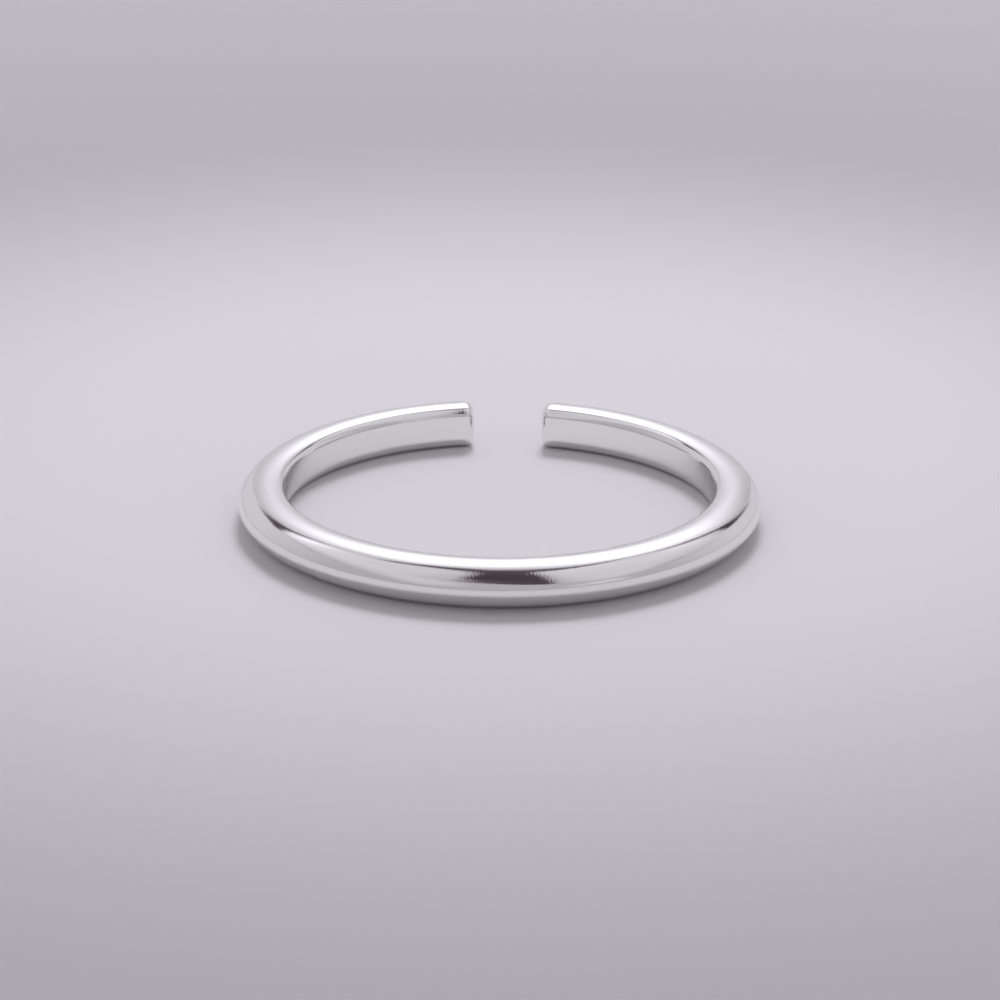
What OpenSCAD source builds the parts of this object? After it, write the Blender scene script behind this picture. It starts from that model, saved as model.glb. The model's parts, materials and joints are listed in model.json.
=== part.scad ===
// Open toe ring: one bar of half-round silver bent round into a ring, with a gap between its tips.
// It lies flat. The surface under it is z = 0, the toe hole's axis is Z and the gap faces +Y.

/* [Toe hole] */
// Diameter of the toe hole at its flat wall
hole_d = 15; // [12:0.5:18]
// Gap between the two tips, straight across at the wall of the toe hole
gap_w = 2.4; // [1:0.1:5]

/* [Band] */
// Thickness of the band, from the wall of the toe hole to the outermost line of the crown
band_t = 1.65; // [1.4:0.05:2.2]
// Height of the band, from the surface it lies on to its upper edge
band_h = 1.6; // [1.4:0.1:2.2]
// Distance from the wall of the toe hole to the highest line of the crown
crown_in = 0.6; // [0.5:0.05:0.75]
// Radius of the eased edges of the toe hole
edge_r = 0.35; // [0.1:0.05:0.5]
// Radius of the crown along its outermost line
nose_r = 0.6; // [0.3:0.05:0.65]
// Radius of the eased rim of each tip
tip_r = 0.4; // [0.2:0.05:0.5]

/* [Hidden] */
$fn = 128;

hole_r = hole_d / 2;
outer_r = hole_r + band_t;
mid_r = hole_r + band_t / 2;
mid_h = band_h / 2;

// The crown is three tangent arcs: the nose, and a shoulder on each side of it. A shoulder is level at
// crown_x, and its radius is the one that also touches the nose, at touch_x.
crown_x = hole_r + crown_in;
nose_x = outer_r - nose_r;
shoulder_r = ((nose_x - crown_x) ^ 2 + mid_h ^ 2 - nose_r ^ 2) / (2 * (mid_h - nose_r));
touch_x = crown_x + shoulder_r * (nose_x - crown_x) / (shoulder_r - nose_r);

// Towards the toe hole a shoulder runs on downhill to start_x, where the eased edge carries on from it
edge_x = hole_r + edge_r;
start_x = crown_x - shoulder_r * (crown_x - edge_x) / (shoulder_r - edge_r);
edge_z = band_h - shoulder_r + sqrt((shoulder_r - edge_r) ^ 2 - (crown_x - edge_x) ^ 2);

// Each tip is cut square to the band, and its rim is eased by a round bar along the band's own line.
// The bar is just wider than the band's section, and only its end has shape.
tip_angle = asin(gap_w / hole_d);
shaped_angle = tip_angle + atan(tip_r / mid_r);
bar_clear = 0.05;
section_reach = norm([band_t / 2 - edge_r, edge_z - mid_h]) + edge_r;
bar_r = ceil(100 * (section_reach + bar_clear)) / 100;
bar_l = 2 * bar_r;
past = 1;

// Half-round section of the band, at its real place beside the Z axis
module band_section() {
    // Crown, from the eased edges to where the nose begins
    intersection() {
        translate([crown_x, band_h - shoulder_r]) circle(shoulder_r);
        translate([crown_x, shoulder_r]) circle(shoulder_r);
        translate([start_x, -past]) square([touch_x - start_x, band_h + 2 * past]);
    }
    translate([nose_x, mid_h]) circle(nose_r);
    // Wall of the toe hole, with its two eased edges
    translate([hole_r, band_h - edge_z]) square([2 * edge_r, 2 * edge_z - band_h]);
    for (z = [band_h - edge_z, edge_z]) translate([edge_x, z]) circle(edge_r);
}

// Round bar that ends at z = 0 in a flat face with an eased rim
module tip_bar() {
    rotate_extrude() {
        translate([0, -bar_l]) square([bar_r, bar_l - tip_r]);
        translate([0, -bar_l]) square([bar_r - tip_r, bar_l]);
        intersection() {
            translate([bar_r - tip_r, -tip_r]) circle(tip_r);
            translate([0, -bar_l]) square([bar_r, bar_l]);
        }
    }
}

// Space that the gap and the shaped stretch of both tips take up
module gap_wedge() {
    reach = (outer_r + past) / cos(shaped_angle);
    side = [reach * sin(shaped_angle), reach * cos(shaped_angle)];
    translate([0, 0, -past])
        linear_extrude(band_h + 2 * past) polygon([[0, 0], side, [-side.x, side.y]]);
}

module band() {
    color("silver") difference() {
        rotate_extrude() band_section();
        difference() {
            gap_wedge();
            for (side = [-1, 1])
                rotate([0, 0, side * tip_angle]) translate([0, mid_r, mid_h])
                    rotate([0, -90 * side, 0]) mirror([0, 0, 1]) tip_bar();
        }
    }
}

band();
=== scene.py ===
"""Open toe ring of polished silver, on a plain studio floor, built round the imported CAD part."""
import json
import math

import bmesh
import bpy
from bpy.props import FloatProperty, FloatVectorProperty, IntProperty, PointerProperty
from mathutils import Matrix, Quaternion, Vector


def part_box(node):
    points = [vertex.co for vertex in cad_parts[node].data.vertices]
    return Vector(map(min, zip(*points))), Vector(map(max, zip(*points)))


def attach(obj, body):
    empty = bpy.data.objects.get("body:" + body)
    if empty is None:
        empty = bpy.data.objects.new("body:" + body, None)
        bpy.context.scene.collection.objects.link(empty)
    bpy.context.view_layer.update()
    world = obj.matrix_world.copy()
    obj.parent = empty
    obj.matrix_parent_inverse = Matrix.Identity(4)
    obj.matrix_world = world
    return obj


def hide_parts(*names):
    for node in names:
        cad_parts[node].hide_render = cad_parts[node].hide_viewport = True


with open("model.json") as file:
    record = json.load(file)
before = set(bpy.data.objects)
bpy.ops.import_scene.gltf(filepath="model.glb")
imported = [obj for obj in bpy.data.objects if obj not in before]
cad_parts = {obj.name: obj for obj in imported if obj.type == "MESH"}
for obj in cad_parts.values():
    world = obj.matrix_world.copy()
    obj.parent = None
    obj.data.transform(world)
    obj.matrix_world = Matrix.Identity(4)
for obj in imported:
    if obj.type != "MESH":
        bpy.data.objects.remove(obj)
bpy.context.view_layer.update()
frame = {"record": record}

bl_info = {
    "name": "Toe ring",
    "version": (1, 0, 0),
    "blender": (4, 5, 0),
    "location": "3D View > Sidebar > Toe ring",
    "description": "Builds an open half-round toe ring of polished silver and the studio it is shown in",
    "category": "Add Mesh",
}

MM = 0.001
MICRON = 0.000001
BAND_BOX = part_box("band")
TOE_HOLE = frame["record"]["mounts"][0]["dims"]["r_mm"] * MM


# Colour and node helpers
def linear(hex_colour):
    """Turns an sRGB hex colour into the linear values that shaders take."""
    channels = [int(hex_colour[i:i + 2], 16) / 255 for i in (1, 3, 5)]
    return [c / 12.92 if c <= 0.04045 else ((c + 0.055) / 1.055) ** 2.4 for c in channels]


def add_node(tree, kind, settings=None, inputs=None):
    """Adds a node, sets its properties and inputs, and links the inputs that are given as sockets."""
    node = tree.nodes.new(kind)
    for name, value in (settings or {}).items():
        setattr(node, name, value)
    for name, value in (inputs or {}).items():
        if isinstance(value, bpy.types.NodeSocket):
            tree.links.new(value, node.inputs[name])
        else:
            node.inputs[name].default_value = value
    return node


def new_material(name):
    """Starts a material with an empty node tree and its output node."""
    material = bpy.data.materials.new(name)
    material.use_nodes = True
    material.node_tree.nodes.clear()
    return material, add_node(material.node_tree, "ShaderNodeOutputMaterial")


def finish_object(name, mesh_edit, material):
    """Turns a finished bmesh into an object at the origin, with one material."""
    mesh = bpy.data.meshes.new(name)
    mesh_edit.to_mesh(mesh)
    mesh_edit.free()
    mesh.materials.append(material)
    piece = bpy.data.objects.new(name, mesh)
    bpy.context.scene.collection.objects.link(piece)
    return piece


# Sizes, colours and lights that a user may change
class BandSizes(bpy.types.PropertyGroup):
    """Sizes of the bent bar"""

    hole_radius: FloatProperty(
        name="Toe hole radius", description="Radius of the flat wall that the toe goes through",
        default=TOE_HOLE, unit="LENGTH", precision=5)
    outer_radius: FloatProperty(
        name="Outer radius", description="Radius of the crown's outermost line",
        default=BAND_BOX[1].x, unit="LENGTH", precision=5)
    height: FloatProperty(
        name="Height", description="Height of the band above the surface it lies on",
        default=BAND_BOX[1].z - BAND_BOX[0].z, unit="LENGTH", precision=5)
    crown_in: FloatProperty(
        name="Crown", description="Distance from the wall of the toe hole to the crown's highest line",
        default=0.6 * MM, unit="LENGTH", precision=5)
    edge_radius: FloatProperty(
        name="Eased edges", description="Radius of the two edges of the toe hole",
        default=0.35 * MM, unit="LENGTH", precision=5)
    nose_radius: FloatProperty(
        name="Nose radius", description="Radius of the crown along its outermost line",
        default=0.6 * MM, unit="LENGTH", precision=5)
    gap: FloatProperty(
        name="Gap", description="Width of the gap between the tips, at the wall of the toe hole",
        default=2.4 * MM, unit="LENGTH", precision=5)
    tip_ease: FloatProperty(
        name="Eased tips", description="How far the rim of each tip is rounded over",
        default=0.33 * MM, unit="LENGTH", precision=5)
    steps_round: IntProperty(
        name="Steps round the ring", description="Number of stretches that the bend is made of",
        default=330, min=60, max=600)


class SilverFinish(bpy.types.PropertyGroup):
    """Finish of the silver"""

    colour: FloatVectorProperty(
        name="Silver", description="Colour that the polished silver reflects",
        default=linear("#F4F3F2"), size=3, subtype="COLOR", min=0, max=1)
    roughness: FloatProperty(
        name="Roughness", description="Softness of the reflections after polishing",
        default=0.07, min=0, max=1)
    peel_size: FloatProperty(
        name="Polish ripple", description="Width of the fine ripple that the buffing wheel leaves",
        default=0.05 * MM, unit="LENGTH", precision=6)
    peel_depth: FloatProperty(
        name="Ripple depth", description="Depth of that ripple",
        default=1.1 * MICRON, unit="LENGTH", precision=9)


class StudioLook(bpy.types.PropertyGroup):
    """Floor, light and camera"""

    # Painted light: the floor colour round the ring carries a painted pool of light, the floor edge colour is
    # painted shade further out, and the far floor colour is painted light where only the room lights the
    # paper.
    paper_and_painted_pool_colour: FloatVectorProperty(
        name="Floor", description="Colour of the matt paper under and round the ring",
        default=linear("#DDDCDC"), size=3, subtype="COLOR", min=0, max=1)
    painted_shade_floor_colour: FloatVectorProperty(
        name="Floor edge", description="Colour of the graduated paper away from the ring",
        default=linear("#B6B4B6"), size=3, subtype="COLOR", min=0, max=1)
    painted_light_far_colour: FloatVectorProperty(
        name="Far floor", description="Colour of the paper far away from the ring",
        default=linear("#EFECEF"), size=3, subtype="COLOR", min=0, max=1)
    room_colour: FloatVectorProperty(
        name="Room", description="Colour of the soft light from the room",
        default=linear("#FAF6FF"), size=3, subtype="COLOR", min=0, max=1)
    softbox_glow: FloatProperty(
        name="Back softbox", description="Brightness of the middle of the softbox behind the ring",
        default=1.45, min=0)
    key_watts: FloatProperty(
        name="Key lamp", description="Power of the lamp that throws the ring's shadow forward",
        default=0.72, min=0, unit="POWER")
    camera_distance: FloatProperty(
        name="Camera distance", description="From the middle of the ring to the camera",
        default=129.1 * MM, unit="LENGTH", precision=4)
    camera_elevation: FloatProperty(
        name="Camera elevation", description="Angle of the camera above the floor",
        default=math.radians(20.14), subtype="ANGLE")
    camera_azimuth: FloatProperty(
        name="Camera azimuth", description="Angle of the camera to the right of the front",
        default=math.radians(2.1), subtype="ANGLE")
    camera_roll: FloatProperty(
        name="Camera roll", description="Tilt of the camera round its line of sight",
        default=math.radians(0.3), subtype="ANGLE")
    focal_length: FloatProperty(
        name="Focal length", description="Focal length of the lens on a 36 mm sensor, in millimetres",
        default=132.65, min=10)


# Band
def half_round_section(band, sizes):
    """Draws the closed half-round outline beside the Z axis, in mm, from arcs spun off one vertex."""
    hole_r = sizes.hole_radius / MM
    outer_r = sizes.outer_radius / MM
    height = sizes.height / MM
    edge_r = sizes.edge_radius / MM
    nose_r = sizes.nose_radius / MM
    mid_h = height / 2
    crown_x = hole_r + sizes.crown_in / MM
    nose_x = outer_r - nose_r
    reach = nose_x - crown_x
    shoulder_r = (reach ** 2 + mid_h ** 2 - nose_r ** 2) / (2 * (mid_h - nose_r))
    touch = math.atan2(mid_h - height + shoulder_r, reach)
    edge_x = hole_r + edge_r
    lean = math.asin((crown_x - edge_x) / (shoulder_r - edge_r))
    edge_z = height - shoulder_r + (shoulder_r - edge_r) * math.cos(lean)
    level = math.pi / 2
    wall_cuts = 11
    edge_steps = 26
    shoulder_steps = 24
    nose_steps = 36
    closing_gap = 0.001
    arcs = (
        (edge_x, edge_z, level - lean, edge_steps),
        (crown_x, height - shoulder_r, lean + level - touch, shoulder_steps),
        (nose_x, mid_h, 2 * touch, nose_steps),
        (crown_x, shoulder_r, lean + level - touch, shoulder_steps),
        (edge_x, height - edge_z, level - lean, edge_steps),
    )
    foot = band.verts.new((hole_r, 0, height - edge_z))
    top = band.verts.new((hole_r, 0, edge_z))
    wall = band.edges.new((foot, top))
    end = top
    for centre_x, centre_z, angle, steps in arcs:
        turned = bmesh.ops.spin(
            band, geom=[end], cent=(centre_x, 0, centre_z), axis=(0, 1, 0), angle=angle, steps=steps)
        end = next(e for e in turned["geom_last"] if isinstance(e, bmesh.types.BMVert))
    bmesh.ops.subdivide_edges(band, edges=[wall], cuts=wall_cuts)
    bmesh.ops.remove_doubles(band, verts=band.verts[:], dist=closing_gap)
    return band.edges[:]


def round_tip(band, outline, sizes, heading, turn):
    """Runs the outline on by the eased length while it draws in, then closes it with a flat end face.

    heading is the angle of the outline about the Z axis, and turn is +1 or -1, the way that the tip points.
    """
    rim_steps = 8
    flat_margin = 0.02
    mid_r = (sizes.hole_radius + sizes.outer_radius) / 2 / MM
    half_thickness = (sizes.outer_radius - sizes.hole_radius) / 2 / MM
    mid_h = sizes.height / 2 / MM
    ease = sizes.tip_ease / MM
    run = 0
    size = 1
    for step in range(1, rim_steps + 1):
        angle = step * math.pi / 2 / rim_steps
        next_run = ease * math.sin(angle)
        next_size = 1 - ease * (1 - math.cos(angle)) / half_thickness
        swing = turn * (next_run - run) / mid_r
        heading += swing
        middle = Vector((mid_r * math.cos(heading), mid_r * math.sin(heading), mid_h))
        made = bmesh.ops.extrude_edge_only(band, edges=outline)["geom"]
        ring = [e for e in made if isinstance(e, bmesh.types.BMVert)]
        outline = [e for e in made if isinstance(e, bmesh.types.BMEdge)]
        bmesh.ops.rotate(band, verts=ring, cent=(0, 0, 0), matrix=Matrix.Rotation(swing, 3, "Z"))
        bmesh.ops.scale(
            band, verts=ring, vec=Vector((1, 1, 1)) * (next_size / size), space=Matrix.Translation(-middle))
        run = next_run
        size = next_size
    outline = [e for e in outline if e.is_boundary]
    end_face = bmesh.ops.contextual_create(band, geom=outline)["faces"][0]
    bmesh.ops.inset_individual(band, faces=[end_face], thickness=flat_margin)


def unroll_band(band, sizes):
    """Lays the band out flat as a UV map in millimetres: along the bar, and round its section."""
    uv_layer = band.loops.layers.uv.new("band_mm")
    mid_r = (sizes.hole_radius + sizes.outer_radius) / 2 / MM
    mid_h = sizes.height / 2 / MM
    section_r = mid_h
    nearly_round = math.radians(179)
    for face in band.faces:
        below = face.calc_center_median().z < mid_h
        for loop in face.loops:
            x, y, z = loop.vert.co
            across = math.atan2(z - mid_h, math.hypot(x, y) - mid_r)
            if below and across > nearly_round:
                across -= 2 * math.pi
            loop[uv_layer].uv = (math.atan2(x, -y) * mid_r, across * section_r)


def polished_silver(finish):
    """Polished sterling silver, drawn as half-round bar, bent and buffed.

    Buffing leaves a bright mirror with the faintest ripple, which only shows where a dark reflection meets
    a light one, and a slight haze along the bar that takes the hardness off the reflections.
    """
    material, output = new_material("polished_sterling_silver")
    tree = material.node_tree
    bar = add_node(tree, "ShaderNodeUVMap", {"uv_map": "band_mm"})
    ripple_per_mm = MM / finish.peel_size
    across_stretch = 0.35
    ripple_turn = math.radians(8)
    haze_along_per_mm = 0.25
    haze_across_per_mm = 2.5
    ripple_at = add_node(tree, "ShaderNodeMapping", {}, {
        "Vector": bar.outputs["UV"],
        "Rotation": (0, 0, ripple_turn),
        "Scale": (ripple_per_mm, ripple_per_mm * across_stretch, 1),
    })
    ripple = add_node(tree, "ShaderNodeTexNoise", {"noise_dimensions": "2D"}, {
        "Vector": ripple_at.outputs["Vector"],
        "Scale": 1.0,
        "Detail": 1.5,
        "Roughness": 0.5,
    })
    relief = add_node(tree, "ShaderNodeBump", {}, {
        "Height": ripple.outputs["Fac"],
        "Strength": 1.0,
        "Distance": finish.peel_depth,
    })
    haze_at = add_node(tree, "ShaderNodeMapping", {}, {
        "Vector": bar.outputs["UV"],
        "Scale": (haze_along_per_mm, haze_across_per_mm, 1),
    })
    haze = add_node(tree, "ShaderNodeTexNoise", {"noise_dimensions": "2D"}, {
        "Vector": haze_at.outputs["Vector"],
        "Scale": 1.0,
        "Detail": 3.0,
    })
    softness = add_node(tree, "ShaderNodeMapRange", {}, {
        "Value": haze.outputs["Fac"],
        "From Min": 0.3,
        "From Max": 0.7,
        "To Min": finish.roughness * 0.8,
        "To Max": finish.roughness * 1.25,
    })
    silver = add_node(tree, "ShaderNodeBsdfPrincipled", {}, {
        "Base Color": (*finish.colour, 1),
        "Metallic": 1.0,
        "Roughness": softness.outputs["Result"],
        "Normal": relief.outputs["Normal"],
    })
    tree.links.new(silver.outputs["BSDF"], output.inputs["Surface"])
    return material


class TOERING_OT_band(bpy.types.Operator):
    """Bend the half-round bar into the open ring, ease its tips and polish it"""

    bl_idname = "toering.band"
    bl_label = "Band"
    bl_options = {"REGISTER", "UNDO"}

    def execute(self, context):
        sizes = context.scene.toe_ring_band
        mid_r = (sizes.hole_radius + sizes.outer_radius) / 2
        tip_angle = math.asin(sizes.gap / 2 / sizes.hole_radius) + sizes.tip_ease / mid_r
        start = math.pi / 2 + tip_angle
        bend = 2 * math.pi - 2 * tip_angle
        band = bmesh.new()
        near_outline = half_round_section(band, sizes)
        bmesh.ops.rotate(
            band, verts=band.verts[:], cent=(0, 0, 0), matrix=Matrix.Rotation(start, 3, "Z"))
        bent = bmesh.ops.spin(
            band, geom=near_outline, cent=(0, 0, 0), axis=(0, 0, 1), angle=bend, steps=sizes.steps_round)
        far_outline = [e for e in bent["geom_last"] if isinstance(e, bmesh.types.BMEdge)]
        round_tip(band, far_outline, sizes, start + bend, 1)
        near_outline = [e for e in band.edges if e.is_boundary]
        round_tip(band, near_outline, sizes, start, -1)
        bmesh.ops.recalc_face_normals(band, faces=band.faces[:])
        unroll_band(band, sizes)
        for face in band.faces:
            face.smooth = True
        bmesh.ops.scale(band, vec=(MM, MM, MM), verts=band.verts[:])
        piece = finish_object("silver_band", band, polished_silver(context.scene.toe_ring_finish))
        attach(piece, "root")
        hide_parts("band")
        return {"FINISHED"}


# Stage, with the tints of a card's light and dark parts
CARD_WHITE = "#FAF6FF"
CARD_BLACK = "#FFE6F7"


def sky_direction(right, back):
    """Direction from the ring to a place overhead, given as degrees to the right of and behind the zenith."""
    from_zenith = math.radians(math.hypot(right, back))
    heading = math.atan2(right, back)
    return Vector((
        math.sin(from_zenith) * math.sin(heading),
        math.sin(from_zenith) * math.cos(heading),
        math.cos(from_zenith),
    ))


def sky_place(point):
    """Turns a point round the ring into degrees to the right of and behind the zenith."""
    from_zenith = math.degrees(math.acos(point.z / point.length))
    heading = math.atan2(point.x, point.y)
    return from_zenith * math.sin(heading), from_zenith * math.cos(heading)


def studio_card(name, rim, face, facing, distance, hot_spot=None):
    """Hangs a flat card that glows from its rim, through a soft border, to its face.

    rim and face are outlines with the same number of corners, and each corner is (degrees right, degrees
    back, brightness). hot_spot is (degrees right, degrees back, reach right, reach back, extra brightness),
    the middle of a softbox, over its lamp. Dark parts take the tint CARD_BLACK, and light parts CARD_WHITE.
    """
    first_inset = distance * 0.001
    dark_level = 0.1
    light_level = 0.4
    card = bmesh.new()
    glow = card.verts.layers.float.new("glow")
    normal = sky_direction(*facing)

    def set_corner(corner, right, back, brightness):
        towards = sky_direction(right, back)
        corner.co = towards * (distance / towards.dot(normal))
        corner[glow] = brightness

    outer = []
    for place in rim:
        corner = card.verts.new()
        set_corner(corner, *place)
        outer.append(corner)
    panel = card.faces.new(outer)
    bmesh.ops.inset_individual(card, faces=[panel], thickness=first_inset)
    for corner in panel.verts:
        across = next(edge for edge in corner.link_edges if edge.other_vert(corner) in outer)
        set_corner(corner, *face[outer.index(across.other_vert(corner))])
    if hot_spot:
        hot_right, hot_back, reach_right, reach_back, extra = hot_spot
        fine = 7
        middle_glow = sum(corner[glow] for corner in panel.verts) / len(panel.verts)
        middle = bmesh.ops.poke(card, faces=[panel])["verts"][0]
        middle[glow] = middle_glow
        bmesh.ops.subdivide_edges(card, edges=card.edges[:], cuts=fine, use_grid_fill=True)
        for corner in card.verts:
            right, back = sky_place(corner.co)
            away = ((right - hot_right) / reach_right) ** 2 + ((back - hot_back) / reach_back) ** 2
            if not corner.is_boundary:
                corner[glow] += extra * math.exp(-away)
    material, output = new_material(name + "_glow")
    tree = material.node_tree
    level = add_node(tree, "ShaderNodeAttribute", {"attribute_name": "glow"})
    lit = add_node(tree, "ShaderNodeMapRange", {}, {
        "Value": level.outputs["Fac"],
        "From Min": dark_level,
        "From Max": light_level,
    })
    tint = add_node(tree, "ShaderNodeMix", {"data_type": "RGBA"}, {
        0: lit.outputs["Result"],
        6: (*linear(CARD_BLACK), 1),
        7: (*linear(CARD_WHITE), 1),
    })
    light = add_node(tree, "ShaderNodeEmission", {}, {
        "Color": tint.outputs[2],
        "Strength": level.outputs["Fac"],
    })
    tree.links.new(light.outputs["Emission"], output.inputs["Surface"])
    piece = finish_object(name, card, material)
    piece.visible_camera = False
    return piece


def key_light(look):
    """Hangs a soft lamp behind the ring. It lights the floor and throws the ring's shadow forward."""
    height = math.radians(55)
    to_right = math.radians(5)
    distance = 0.42
    lamp = bpy.data.lights.new("key_lamp", "AREA")
    lamp.shape = "DISK"
    lamp.size = 0.14
    lamp.energy = look.key_watts
    lamp.color = linear("#FAF6FF")
    key = bpy.data.objects.new("key_lamp", lamp)
    level = math.cos(height)
    away = Vector((level * math.sin(to_right), level * math.cos(to_right), math.sin(height)))
    key.location = away * distance
    key.rotation_mode = "QUATERNION"
    key.rotation_quaternion = away.to_track_quat("Z", "Y")
    key.visible_camera = False
    key.visible_glossy = False
    bpy.context.scene.collection.objects.link(key)


def floor_with_painted_light(look):
    """Lays the plain floor of pale matt paper, level with the underside of the ring.

    Its colour is painted light: a painted pool of light round the ring, painted shade a little further out,
    and painted light far away, where only the room lights it, which makes the paper white there.
    """
    half_width = 3.0
    # Middle and reaches of the painted pool of light, the painted shade and the painted far light on the
    # paper.
    painted_pool_middle = Vector((0, 0.008, 0))
    painted_pool_reach = 0.014
    painted_shade_reach = 0.048
    painted_far_light_reach = 0.5
    material, output = new_material("matt_paper_with_painted_light")
    tree = material.node_tree
    place = add_node(tree, "ShaderNodeTexCoord")
    away = add_node(tree, "ShaderNodeVectorMath", {"operation": "DISTANCE"}, {
        0: place.outputs["Object"],
        1: painted_pool_middle,
    })
    # Painted shade: the paper darkens from the painted pool of light round the ring towards its edge colour.
    shade = add_node(tree, "ShaderNodeMapRange", {"interpolation_type": "SMOOTHSTEP"}, {
        "Value": away.outputs["Value"],
        "From Min": painted_pool_reach,
        "From Max": painted_shade_reach,
    })
    tint = add_node(tree, "ShaderNodeMix", {"data_type": "RGBA"}, {
        0: shade.outputs["Result"],
        6: (*look.paper_and_painted_pool_colour, 1),
        7: (*look.painted_shade_floor_colour, 1),
    })
    # Painted light: far away the paper is painted white, where only the room lights it.
    painted_far_light_ramp = add_node(tree, "ShaderNodeMapRange", {}, {
        "Value": away.outputs["Value"],
        "From Min": painted_shade_reach,
        "From Max": painted_far_light_reach,
    })
    painted_far_light_tint = add_node(tree, "ShaderNodeMix", {"data_type": "RGBA"}, {
        0: painted_far_light_ramp.outputs["Result"],
        6: tint.outputs[2],
        7: (*look.painted_light_far_colour, 1),
    })
    paper = add_node(tree, "ShaderNodeBsdfPrincipled", {}, {
        "Base Color": painted_far_light_tint.outputs[2],
        "Roughness": 0.85,
        "Specular IOR Level": 0.2,
    })
    tree.links.new(paper.outputs["BSDF"], output.inputs["Surface"])
    floor = bmesh.new()
    bmesh.ops.create_grid(floor, x_segments=1, y_segments=1, size=half_width)
    finish_object("floor", floor, material)


def room_light(look):
    """Fills the room with soft light, brightest behind the ring."""
    to_light = Vector((0, 1, 0))
    world = bpy.data.worlds.new("studio_room")
    world.use_nodes = True
    tree = world.node_tree
    tree.nodes.clear()
    output = add_node(tree, "ShaderNodeOutputWorld")
    place = add_node(tree, "ShaderNodeTexCoord")
    towards = add_node(tree, "ShaderNodeVectorMath", {"operation": "DOT_PRODUCT"}, {
        0: place.outputs["Generated"],
        1: to_light,
    })
    level = add_node(tree, "ShaderNodeMapRange", {}, {
        "Value": towards.outputs["Value"],
        "From Min": -0.3,
        "From Max": 0.6,
        "To Min": 0.475,
        "To Max": 0.67,
    })
    sky = add_node(tree, "ShaderNodeBackground", {}, {
        "Color": (*look.room_colour, 1),
        "Strength": level.outputs["Result"],
    })
    tree.links.new(sky.outputs["Background"], output.inputs["Surface"])
    bpy.context.scene.world = world


def camera_at_photo_angle(look):
    """Places the camera, and frames the ring with a very small shift."""
    target = Vector((0, 0, BAND_BOX[1].z / 2))
    to_camera = Vector((
        math.sin(look.camera_azimuth) * math.cos(look.camera_elevation),
        -math.cos(look.camera_azimuth) * math.cos(look.camera_elevation),
        math.sin(look.camera_elevation),
    ))
    lens = bpy.data.cameras.new("camera")
    lens.lens = look.focal_length
    lens.sensor_width = 36
    lens.clip_start = 0.01
    lens.clip_end = 10
    lens.shift_x = 0.0002
    lens.shift_y = -0.0025
    camera = bpy.data.objects.new("camera", lens)
    camera.location = target + to_camera * look.camera_distance
    aim = (-to_camera).to_track_quat("-Z", "Y")
    camera.rotation_mode = "QUATERNION"
    camera.rotation_quaternion = aim @ Quaternion((0, 0, 1), look.camera_roll)
    bpy.context.scene.collection.objects.link(camera)
    bpy.context.scene.camera = camera


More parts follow.
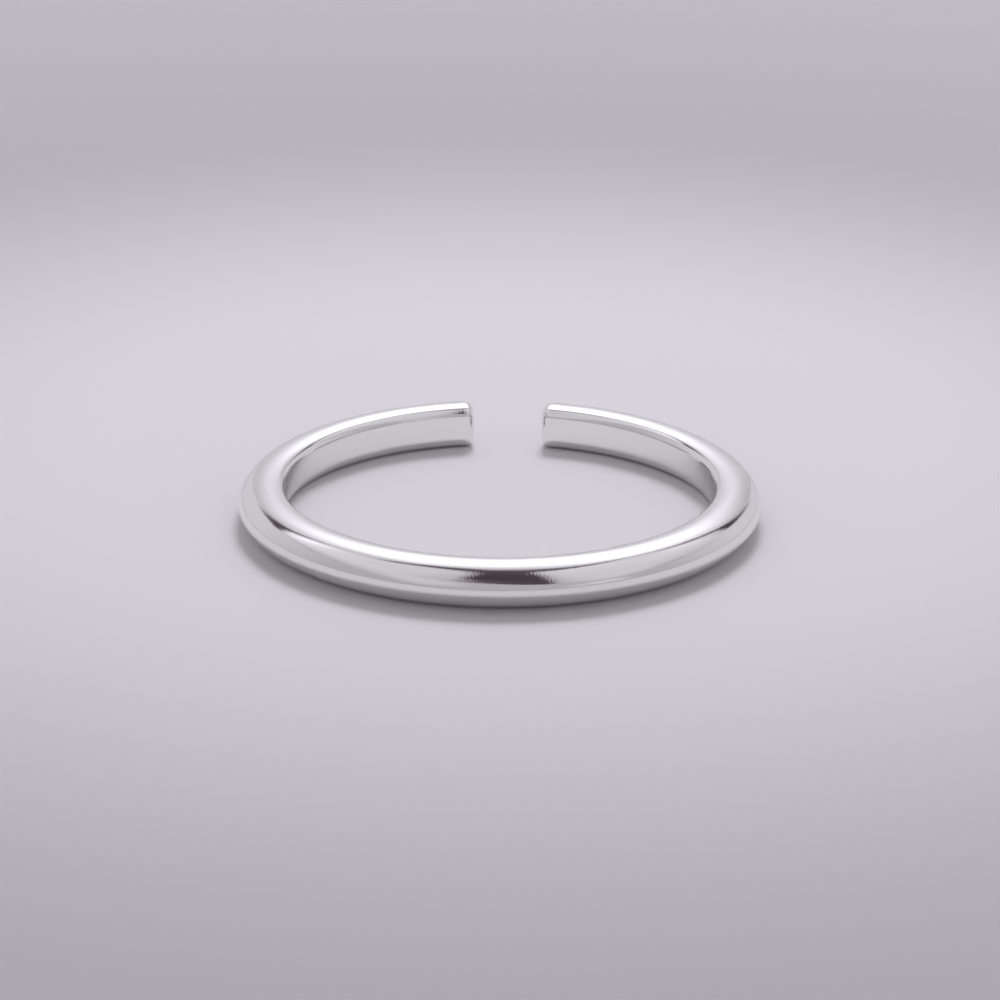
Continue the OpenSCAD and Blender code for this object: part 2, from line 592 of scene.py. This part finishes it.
class TOERING_OT_stage(bpy.types.Operator):
    """Lay the paper floor, hang the studio cards and set up the room light and the camera"""

    bl_idname = "toering.stage"
    bl_label = "Stage"
    bl_options = {"REGISTER", "UNDO"}

    def execute(self, context):
        look = context.scene.toe_ring_studio
        studio_card(
            "back_softbox",
            rim=((-24, 88, 0.58), (24, 88, 0.55), (29, 78, 0.52), (32, 70, 0.5), (35, 60, 0.5),
                 (34.5, 52, 0.52), (33, 45, 0.6), (27.2, 37, 0.74), (22.5, 31, 0.74), (16.8, 22, 0.66),
                 (11.5, 12, 0.4), (8, 6, 0.11), (-8, 6, 0.1), (-12, 10, 0.3), (-19, 22, 0.6),
                 (-25, 31, 0.62), (-29, 39, 0.66), (-31.5, 46, 0.58), (-33, 56, 0.54), (-31, 66, 0.56)),
            face=((-18, 82, 0.62), (18, 82, 0.62), (20, 74, 0.58), (20.5, 66, 0.58), (21, 58, 0.68),
                  (21.5, 51, 0.86), (21, 44, 0.94), (18.5, 38, 0.98), (15.5, 32, 0.98), (11.5, 25, 0.85),
                  (7.5, 18, 0.68), (4, 17, 0.6), (-3, 17, 0.62), (-7, 17.5, 0.64), (-11, 24.5, 0.84),
                  (-15, 32, 0.9), (-18, 39, 0.84), (-20, 46, 0.8), (-20.5, 55, 0.72), (-19, 66, 0.62)),
            facing=(0, 45), distance=1.2, hot_spot=(0, 44, 15.5, 17.5, look.softbox_glow))
        studio_card(
            "left_panel",
            rim=((-6, 7, 0.62), (-14, 11, 0.66), (-24, 16, 0.66), (-29, 29, 0.68), (-40, 37, 0.74),
                 (-47, 33, 0.56), (-50, 22, 0.46), (-53, 2, 0.46), (-55, -20, 0.46), (-56, -48, 0.42),
                 (-48, -72, 0.44), (-15, -76, 0.48), (-9, -56, 0.48), (-11, -30, 0.52), (-10, -15, 0.57),
                 (-6, -4, 0.63)),
            face=((-11, 6, 0.66), (-15, 8, 0.69), (-23, 12, 0.69), (-30, 24, 0.76), (-38, 31, 0.8),
                  (-43, 28, 0.76), (-44, 19, 0.76), (-43, 2, 0.64), (-44, -20, 0.6), (-44, -46, 0.61),
                  (-37, -60, 0.63), (-22, -60, 0.63), (-17, -50, 0.58), (-19, -30, 0.53),
                  (-18, -12, 0.64), (-12, -2, 0.67)),
            facing=(-25, -10), distance=1.04, hot_spot=(-35, 30, 8, 7, 0.39))
        studio_card(
            "right_panel",
            rim=((9, 5, 0.63), (10, -5, 0.62), (17, -19, 0.58), (22, -33, 0.52), (28, -50, 0.49),
                 (45, -52, 0.52), (57, -42, 0.5), (63, -22, 0.44), (60, 2, 0.42), (58, 20, 0.52),
                 (50, 38, 0.6), (42, 40, 0.58), (32, 31, 0.72), (21, 22, 0.68), (15, 14, 0.71)),
            face=((13, 6, 0.73), (16, -4, 0.71), (22, -16, 0.67), (29, -28, 0.65), (35, -36, 0.65),
                  (43, -38, 0.65), (51, -34, 0.64), (55, -20, 0.63), (52, 0, 0.6), (50, 16, 0.62),
                  (45, 28, 0.69), (39, 34, 0.76), (33, 28, 0.8), (24, 19, 0.73), (18, 11, 0.76)),
            facing=(28, -10), distance=1.04, hot_spot=(31, 33, 6, 6, 0.22))
        studio_card(
            "side_panel",
            rim=((45, -56, 0.51), (56, -44, 0.52), (68, -40, 0.54), (72, -46, 0.6), (60, -62, 0.65),
                 (46, -72, 0.58), (36, -76, 0.49)),
            face=((50, -57, 0.64), (57, -50, 0.68), (65, -46, 0.68), (68, -49, 0.69), (59, -60, 0.71),
                  (50, -67, 0.65), (44, -70, 0.59)),
            facing=(55, -55), distance=1.04)
        studio_card(
            "dark_slot",
            rim=((-11, 5, 0.58), (-8.7, 0, 0.6), (-7.6, -6, 0.58), (-9, -12, 0.55), (-11, -18, 0.54),
                 (-12.2, -22, 0.52), (-14, -29, 0.46), (-16.4, -36, 0.42), (-14.5, -45, 0.44),
                 (-6, -49.5, 0.45), (4, -54, 0.45), (16, -56.5, 0.45), (26, -58.7, 0.44),
                 (29.2, -52, 0.48), (24.8, -43, 0.47), (22.4, -35, 0.48), (18.8, -27, 0.54),
                 (17.2, -20.5, 0.56), (14.6, -15, 0.58), (11.6, -9, 0.6), (9.4, -3, 0.58),
                 (9.6, 1, 0.58), (11.5, 4.5, 0.55), (6, 8, 0.14), (-6, 8, 0.11)),
            face=((-4.5, 6.5, 0.07), (-3.4, 1, 0.07), (-3.2, -6, 0.07), (-4.6, -12, 0.06),
                  (-6, -17, 0.055), (-8.6, -22, 0.06), (-5.5, -29, 0.08), (-5, -36, 0.11),
                  (-7, -42.5, 0.17), (0, -46, 0.11), (6, -49.5, 0.06), (15, -53.5, 0.06),
                  (23.5, -54.5, 0.09), (25.2, -50, 0.1), (21, -43, 0.08), (18.4, -35, 0.08),
                  (15.5, -27.5, 0.07), (13.3, -21, 0.07), (11, -15, 0.07), (9, -9.5, 0.07),
                  (6.5, -3, 0.085), (6.2, 1, 0.09), (7.2, 5, 0.11), (5, 6.5, 0.12), (-3.5, 7, 0.1)),
            facing=(3, -20), distance=0.9)
        studio_card(
            "left_arm",
            rim=((-9.5, 2.5, 0.5), (-12.3, 6, 0.6), (-14.5, 8.2, 0.66), (-17.5, 10.4, 0.66),
                 (-20.5, 12.2, 0.62), (-24.5, 15.2, 0.64), (-21.5, 18.4, 0.6), (-16, 18.4, 0.62),
                 (-10.5, 17.7, 0.62), (-5, 16, 0.58), (-2.5, 9, 0.14)),
            face=((-6, 6, 0.08), (-9, 8.2, 0.08), (-12, 9.8, 0.08), (-15.5, 12.3, 0.12),
                  (-18.5, 14, 0.15), (-21.5, 15.3, 0.25), (-21, 16.2, 0.27), (-16, 15.4, 0.17),
                  (-11.5, 14.3, 0.13), (-7.5, 11.3, 0.13), (-4.5, 8.4, 0.1)),
            facing=(-8, 13), distance=0.9)
        studio_card(
            "right_arm",
            rim=((3.5, 6, 0.13), (6, 11.5, 0.36), (9.5, 14.2, 0.6), (12.8, 18.2, 0.72), (15.5, 22, 0.76),
                 (18.5, 26.3, 0.76), (20.7, 25.5, 0.68), (20, 19, 0.68), (18.4, 13.6, 0.72),
                 (16, 8.6, 0.74), (13.6, 4.3, 0.66), (10, 2.3, 0.34)),
            face=((7, 7, 0.13), (9, 9, 0.14), (12.3, 11.3, 0.16), (15, 15, 0.23), (17, 19.2, 0.32),
                  (19, 23.6, 0.42), (19.6, 23.2, 0.44), (17.9, 18.5, 0.3), (16.3, 14.3, 0.2),
                  (13.8, 10.2, 0.13), (11, 6.4, 0.12), (8.2, 5, 0.1)),
            facing=(12, 12), distance=0.9)
        studio_card(
            "left_flag",
            rim=((-34.5, 60, 0.57), (-38, 54.5, 0.6), (-40.3, 50, 0.62), (-41.7, 47, 0.6),
                 (-43.5, 43.5, 0.58), (-45.5, 40, 0.52), (-46.5, 35.3, 0.42), (-42.6, 35.4, 0.6),
                 (-38.5, 36.8, 0.62), (-36, 36.5, 0.58), (-34.5, 35.2, 0.64), (-32.8, 33.9, 0.85),
                 (-30.4, 31.6, 0.85), (-28, 29, 0.68), (-26.3, 31, 0.68), (-29, 35.5, 0.72),
                 (-31.6, 39.5, 0.74), (-32.4, 43, 0.62), (-32, 47, 0.57), (-32, 52, 0.57)),
            face=((-36, 53, 0.34), (-37.7, 51, 0.2), (-39.4, 49, 0.11), (-40.4, 46.5, 0.08),
                  (-42, 43.3, 0.08), (-43.8, 40.3, 0.09), (-44, 37.7, 0.14), (-42, 37.4, 0.09),
                  (-39, 38.6, 0.08), (-36.2, 38.6, 0.08), (-34.3, 37.8, 0.08), (-32.2, 36.3, 0.14),
                  (-30.4, 34.2, 0.2), (-28.4, 31.6, 0.33), (-27.8, 32.2, 0.35), (-30, 35.6, 0.24),
                  (-32.2, 38.4, 0.18), (-34.4, 41.5, 0.1), (-35.8, 45, 0.09), (-36.6, 48, 0.13)),
            facing=(-32, 43), distance=0.9)
        studio_card(
            "right_flag",
            rim=((34, 72, 0.62), (37.5, 67.5, 0.63), (39.3, 63, 0.63), (41, 58.5, 0.63),
                 (42.2, 54.8, 0.62), (43.7, 51, 0.62), (44.8, 47, 0.58), (46, 43.4, 0.55),
                 (44, 41.2, 0.42), (39, 41, 0.47), (36, 40.6, 0.42), (35, 38, 0.55), (34, 36.6, 0.68),
                 (32.2, 34.4, 0.7), (30.2, 31.6, 0.7), (27, 28.4, 0.7), (22, 24.8, 0.62),
                 (19.6, 25.6, 0.7), (24, 31.2, 0.8), (26.3, 36.2, 0.84), (31, 42, 0.8),
                 (33.8, 46.5, 0.64), (34.6, 52, 0.54), (34.5, 60, 0.52)),
            face=((34.5, 67, 0.45), (36, 65, 0.4), (37.3, 62, 0.32), (39.3, 58, 0.22), (40.6, 54, 0.1),
                  (42, 51, 0.08), (42.8, 47, 0.06), (43.6, 44.4, 0.08), (41.5, 43.4, 0.06),
                  (38.7, 43.3, 0.06), (36, 43, 0.07), (34.2, 41.8, 0.08), (32.6, 38.6, 0.1),
                  (30.8, 36.2, 0.08), (28.9, 33.6, 0.11), (26.2, 30.8, 0.28), (21.6, 26.6, 0.48),
                  (20.9, 27, 0.5), (25.5, 31.6, 0.27), (28, 34.5, 0.12), (30.6, 37.5, 0.1),
                  (35, 45.5, 0.08), (37, 48.8, 0.08), (38.3, 53.5, 0.17)),
            facing=(36, 46), distance=0.9)
        key_light(look)
        floor_with_painted_light(look)
        room_light(look)
        camera_at_photo_angle(look)
        context.scene.view_settings.view_transform = "Standard"
        return {"FINISHED"}


class TOERING_PT_sidebar(bpy.types.Panel):
    """Sizes, finish and studio of the toe ring"""

    bl_idname = "TOERING_PT_sidebar"
    bl_label = "Toe ring"
    bl_space_type = "VIEW_3D"
    bl_region_type = "UI"
    bl_category = "Toe ring"

    def draw(self, context):
        scene = context.scene
        for group, title, button in (
                (scene.toe_ring_band, "Band", "toering.band"),
                (scene.toe_ring_finish, "Silver", None),
                (scene.toe_ring_studio, "Studio", "toering.stage")):
            box = self.layout.box()
            box.label(text=title)
            for name in group.__annotations__:
                box.prop(group, name)
            if button:
                box.operator(button)


CLASSES = (
    BandSizes,
    SilverFinish,
    StudioLook,
    TOERING_OT_band,
    TOERING_OT_stage,
    TOERING_PT_sidebar,
)


def register():
    for new_class in CLASSES:
        bpy.utils.register_class(new_class)
    bpy.types.Scene.toe_ring_band = PointerProperty(type=BandSizes)
    bpy.types.Scene.toe_ring_finish = PointerProperty(type=SilverFinish)
    bpy.types.Scene.toe_ring_studio = PointerProperty(type=StudioLook)


def unregister():
    del bpy.types.Scene.toe_ring_studio
    del bpy.types.Scene.toe_ring_finish
    del bpy.types.Scene.toe_ring_band
    for old_class in reversed(CLASSES):
        bpy.utils.unregister_class(old_class)


def main():
    register()
    bpy.ops.toering.band()
    bpy.ops.toering.stage()


if __name__ == "__main__":
    main()
